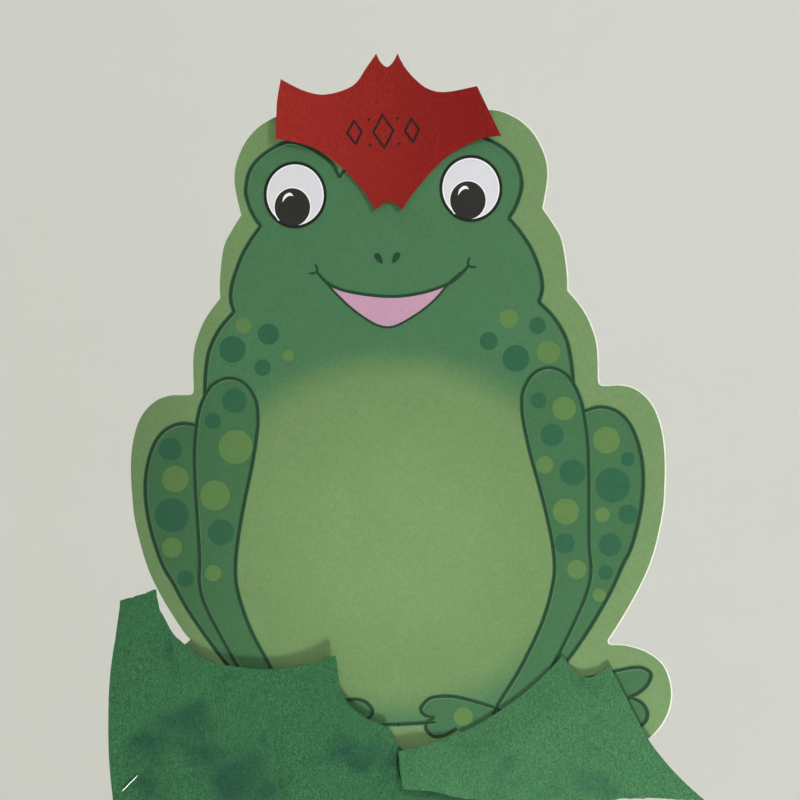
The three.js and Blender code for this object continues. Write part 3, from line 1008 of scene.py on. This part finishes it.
def crumple(x, z, seed, low, high, halfWidth):
    # handling wrinkles, calm towards the folds at the sides and the top
    calm = clamp((halfWidth - abs(x)) / 12) * clamp((high - z) / 25)
    broad = noise.noise(Vector((x * 0.022, seed, z * 0.016)))
    sharp = 1 - abs(noise.noise(Vector((x * 0.045 + z * 0.02, seed + 5, z * 0.04)))) * 3
    return bag["wrinkle"] * calm * (1.6 * broad + 0.5 * max(0, sharp))


def foldLine(z, at, deep, wide=1.6):
    return deep * math.exp(-((z - at) / wide) ** 2)


def bagSheet(name, outline, rule, body, *nodes, step=bag["step"], material=kraftShadedInner, folds=()):
    def form(co):
        return Vector(rule(co.x / mm, co.z / mm)) * mm
    sheet = paperSheet(name, outline, step, form, bag["paper"], (material,), folds, 50)
    if body:
        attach(sheet, body)
    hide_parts(*nodes)
    return sheet


def leaned(x, out, down):
    # a place on the back of the bag: out from its inner face, down is minus below the apex line
    c, s = math.cos(backLean), math.sin(backLean)
    return x, frontFace + out * c - down * s, bag["apex"] + out * s + down * c


def makeFrontPanel():
    half = bag["width"] / 2
    cut = bag["thumbCut"]
    outline = pinked(-half, -cut, 0)
    for k in range(13):
        angle = math.radians(180 - 15 * k)
        reach = cut + (0.9 if k % 2 else 0)
        outline.append((reach * math.cos(angle), reach * math.sin(angle)))
    outline += pinked(cut, half, 0)[1:]
    outline += [(half, 0), (half, bag["crease"] - 0.3), (-half, bag["crease"] - 0.3)]

    def rule(x, z):
        bend = crumple(x, z, 2, 0, 215, half)
        bend += foldLine(z, 184, 0.35) - foldLine(z, 92, 0.3, 2.5)
        return x, frontFace - 0.15 + bend * 0.8, z
    bagSheet("bagFront", outline, rule, "bag_front", "front_panel", material=kraftOuter)


def makeBackPanel():
    half = bag["width"] / 2
    foot = -bag["apex"] / math.cos(backLean)
    outline = pinked(-half, half, foot) + [(half, foot), (half, bag["sideTop"]), (-half, bag["sideTop"])]

    def rule(x, z, out=0.15):
        bend = crumple(x, z, 8, foot, -42, half) + foldLine(z, -130, 0.4, 2.2)
        return leaned(x, out + bend * 0.8, z)
    bagSheet("bagBack", outline, rule, "bag_back", "back_panel", material=kraftOuter)
    strip = [(-9, foot + 1.2), (6, foot + 1.2), (6, -50), (-9, -50)]
    bagSheet("bagSeam", strip, lambda x, z: rule(x, z, -0.30), "bag_back", "seam_strip", step=4)


def makeGussets():
    half = bag["width"] / 2
    slant = bag["gusset"] / bag["apex"]
    rearFoot = -bag["apex"] / math.cos(backLean)
    top = bag["sideTop"]
    turn = math.radians(bag["lipTurn"])
    foldSin, foldCos = math.sin(gussetFold), math.cos(gussetFold)
    for word, side in (("left", -1), ("right", 1)):
        for part, forward, foot in (("front", 1, -bag["apex"]), ("rear", -1, rearFoot)):
            if forward > 0:
                start, room, lipped, startRoom = bag["lipStart"], 0.3, bag["lip"], 0
            else:
                room = startRoom = bag["creaseRoom"]
                start, lipped = 2 * bag["lipStart"], -room
            edge = [(-foot * slant + lipped, foot + 0.1), (start * slant - startRoom, -start),
                    (-top * slant - room, top)]
            outline = pinked(0.05, edge[0][0], foot + 0.1) + edge + [(0.05, top)]

            def rule(u, v, side=side, forward=forward):
                wide = -v * slant
                calm = clamp(u / 6) * clamp((wide - bag["creaseRoom"] - u) / 6)
                bend = 0.5 * calm * noise.noise(Vector((u * 0.05, 3 * side + forward, v * 0.03)))
                flat, lip = min(u, wide), max(0, u - wide)
                x = half - 0.4 - flat * foldCos + bend * foldSin + lip * math.cos(turn)
                y = 0.35 + flat * foldSin + bend * foldCos + lip * math.sin(turn)
                if forward > 0:
                    return side * x, frontFace + y, bag["apex"] + v
                return leaned(side * x, -y, v)
            name = "gusset_" + word + "_" + part
            folds = [((near * mm, 0, 0), (1, 0, slant)) for near in (-0.4, 0, 0.4)] if forward > 0 else ()
            bagSheet("bagGusset" + word.title() + part.title(), outline, rule, name, name,
                     step=7, folds=folds)


def makeHeadShell():
    half = bag["width"] / 2
    low = bag["topFold"] - bag["flapHeight"]
    inner = bag["flapInner"]

    # mouth roof, from the free edge up to the mouth crease
    start, end = (inner + 0.4, low + 0.6), (frontFace - 0.7, bag["crease"] - 0.6)
    rise = math.dist(start, end)

    def roofRule(x, z):
        t = z / rise
        sag = 0.8 * math.sin(math.pi * t) * (0.4 + noise.noise(Vector((x * 0.03, 6, z * 0.05))))
        return x, start[0] + (end[0] - start[0]) * t + sag, start[1] + (end[1] - start[1]) * t
    bagSheet("mouthRoof", [(-half, 0), (half, 0), (half, rise), (-half, rise)], roofRule, "head", "palate")

    # back of the head, which bends at the crumpled rear crease
    foot, bendZ = 221.3, bag["rearCrease"]
    neckY = frontFace + (bag["apex"] - bendZ) * math.tan(backLean)
    top = bag["topFold"] - 0.5

    def backRule(x, z):
        if z < bendZ:
            y = frontFace + (bag["apex"] - z) * math.tan(backLean)
        else:
            t = (z - bendZ) / (top - bendZ)
            y = neckY + (inner + 0.6 - neckY) * t ** 1.08
        waver = 2.5 * noise.noise(Vector((x * 0.05, 1, 3)))
        pleat = math.exp(-((z - bendZ) / 3.4) ** 2) * math.sin(z * 1.9 + waver)
        calm = clamp((half - abs(x)) / 10)
        return x, y + 0.35 * pleat * calm + 0.4 * calm * clamp((top - z) / 12) * noise.noise(
            Vector((x * 0.04, 4, z * 0.06))), z
    shell = bagSheet("headBack", [(-half, foot), (half, foot), (half, top), (-half, top)], backRule, None,
                     "head_back", step=1.5, material=kraftOuter)
    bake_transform(shell)

    # folded-in sides
    for word, side in (("left", -1), ("right", 1)):
        def edges(z):
            front = inner + 1
            if z < 226.6:
                rear = front + (frontFace - 1.2 - front) * clamp((z - low - 9) / (226.6 - low - 9))
            else:
                rear = front + (frontFace + 3.6 - front) * clamp((bag["topFold"] - 3.5 - z) / 31)
            return front, rear

        rows = [(low + 9.2, 226.6), (228, bag["topFold"] - 3.7)]
        outline = [(0.02, rows[0][0]), (0.98, rows[0][0]), (0.98, rows[1][1]), (0.02, rows[1][1])]
        outline = [(a * 10, b) for a, b in outline]

        def sideRule(u, z, side=side):
            front, rear = edges(z)
            t = u / 10
            fold = 1 - abs(2 * t - 1)
            deep = min(7.0, 1.1 * (rear - front))
            return side * (half - 4.6 - deep * fold), front + (rear - front) * t, z
        bagSheet("headSide" + word.title(), outline, sideRule, "head", "head_gusset_" + word, step=2)

    # pasted layers of the folded bottom, inside to outside
    slope = 12
    for word, side in (("left", -1), ("right", 1)):
        tuck = [(side * half, low), (side * (half - 38), low + slope),
                (side * (half - 38), bag["topFold"] - slope), (side * half, bag["topFold"])]
        bagSheet("bottomTuck" + word.title(), tuck,
                 lambda x, z: (x, inner - 0.15 + 0.12 * noise.noise(Vector((x * 0.05, 1, z * 0.05))), z),
                 "head", "tuck_" + word)
    flap = [(-half, low), (half, low), (half - slope, low + 50), (-half + slope, low + 50)]
    bagSheet("bottomFlapInner", flap, lambda x, z: (x, inner - 0.75, z), "head", "inner_flap")

    def faceRule(x, z):
        calm = clamp((half - abs(x)) / 10) * clamp((z - low) / 10) * clamp((bag["topFold"] - z) / 10)
        return x, inner - 1.35 + 0.1 * calm * noise.noise(Vector((x * 0.05, 2, z * 0.05))), z
    lid = bag["topFold"]
    face = [(-half, low + 1.5), (-half + 1.5, low), (half - 1.5, low), (half, low + 1.5),
            (half, lid - 1), (half - 1, lid), (-half + 1, lid), (-half, lid - 1)]
    bagSheet("bottomFlapOuter", face, faceRule, "head", "outer_flap", material=kraftOuter)


makeFrontPanel()
makeBackPanel()
makeGussets()
makeHeadShell()
print("bag made")


def makePad(name, node, x, z, wide, high, back, front, seed):
    # a snipped piece of foam tape, its corners and cuts a little uneven
    dice = random.Random(seed)
    corners = [(x - wide / 2, z - high / 2), (x + wide / 2, z - high / 2),
               (x + wide / 2, z + high / 2), (x - wide / 2, z + high / 2)]
    path = []
    for (ax, az), (bx, bz) in zip(corners, corners[1:] + corners[:1]):
        for k in range(6):
            t = k / 6
            path.append((ax + (bx - ax) * t + dice.uniform(-0.18, 0.18),
                         az + (bz - az) * t + dice.uniform(-0.18, 0.18)))
    pad = cutPaper(name, path, back, back - front, rim=min(0.3, (back - front) * 0.3))
    dress(pad, tapeFoam)
    smoothShade(pad, 40)
    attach(pad, "head")
    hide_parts(node)


def makePads():
    face = puppetCard["face"]
    makePad("tapeUpper", "card_tape_upper", 0, 248, 100, 18, -30.6, -31.2, 3)
    makePad("tapeLower", "card_tape_lower", 0, 199, 100, 18, -30.6, -31.2, 4)
    for name, node, x, z, wide, high, form in (
            ("crownPad", "crown_pad", 3, 266, 26, 18, crownForm),
            ("leftPadOuter", "left_leaf_pad_outer", -125, -38, 14, 14, leftForm),
            ("leftPadInner", "left_leaf_pad_inner", -58, -40, 14, 14, leftForm),
            ("rightPadOuter", "right_leaf_pad_outer", 112, -48, 14, 14, rightForm),
            ("rightPadInner", "right_leaf_pad_inner", 72, -56, 14, 14, rightForm)):
        reach = max(form(Vector(((x + a * wide / 2) * mm, 0, (z + b * high / 2) * mm))).y / mm
                    for a in (-1, 0, 1) for b in (-1, 0, 1))
        makePad(name, node, x, z, wide, high, face - 0.05, reach + 0.2, len(name))


staple = {
    "length": 12.7,
    "wire": 0.5,
    "legReach": 0.7,      # how far in the points turn
    "middle": (-158.7, -76.1),
    "lean": 42.5,
}


def makeStaple():
    # one wire: leg, shoulder, crown, shoulder, leg, its points turned under the paper
    half, reach = staple["length"] / 2, staple["legReach"]
    lean = math.radians(staple["lean"])
    profile = [(-half + 3.9, 1.15), (-half + 1.2, 0.95), (-half + 0.25, 0.75), (-half, 0.3)]
    for k in range(5):
        angle = math.radians(180 + 22.5 * k)
        profile.append((-half + reach + reach * math.cos(angle), reach * 0.5 * math.sin(angle) - 0.25))
    profile += [(-s, d) for s, d in reversed(profile)]
    places = []
    for s, d in profile:
        x, z = staple["middle"][0] + s * math.cos(lean), staple["middle"][1] + s * math.sin(lean)
        places.append((x, leftForm(Vector((x * mm, 0, z * mm))).y / mm + d, z))
    wire = wirePiece("wireStaple", places, staple["wire"], 3)
    tidyMesh(wire)
    smoothShade(wire, 50)
    dress(wire, stapleSteel)
    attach(wire, "head")
    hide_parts("staple")


makePads()
makeStaple()
print("pads and staple made")
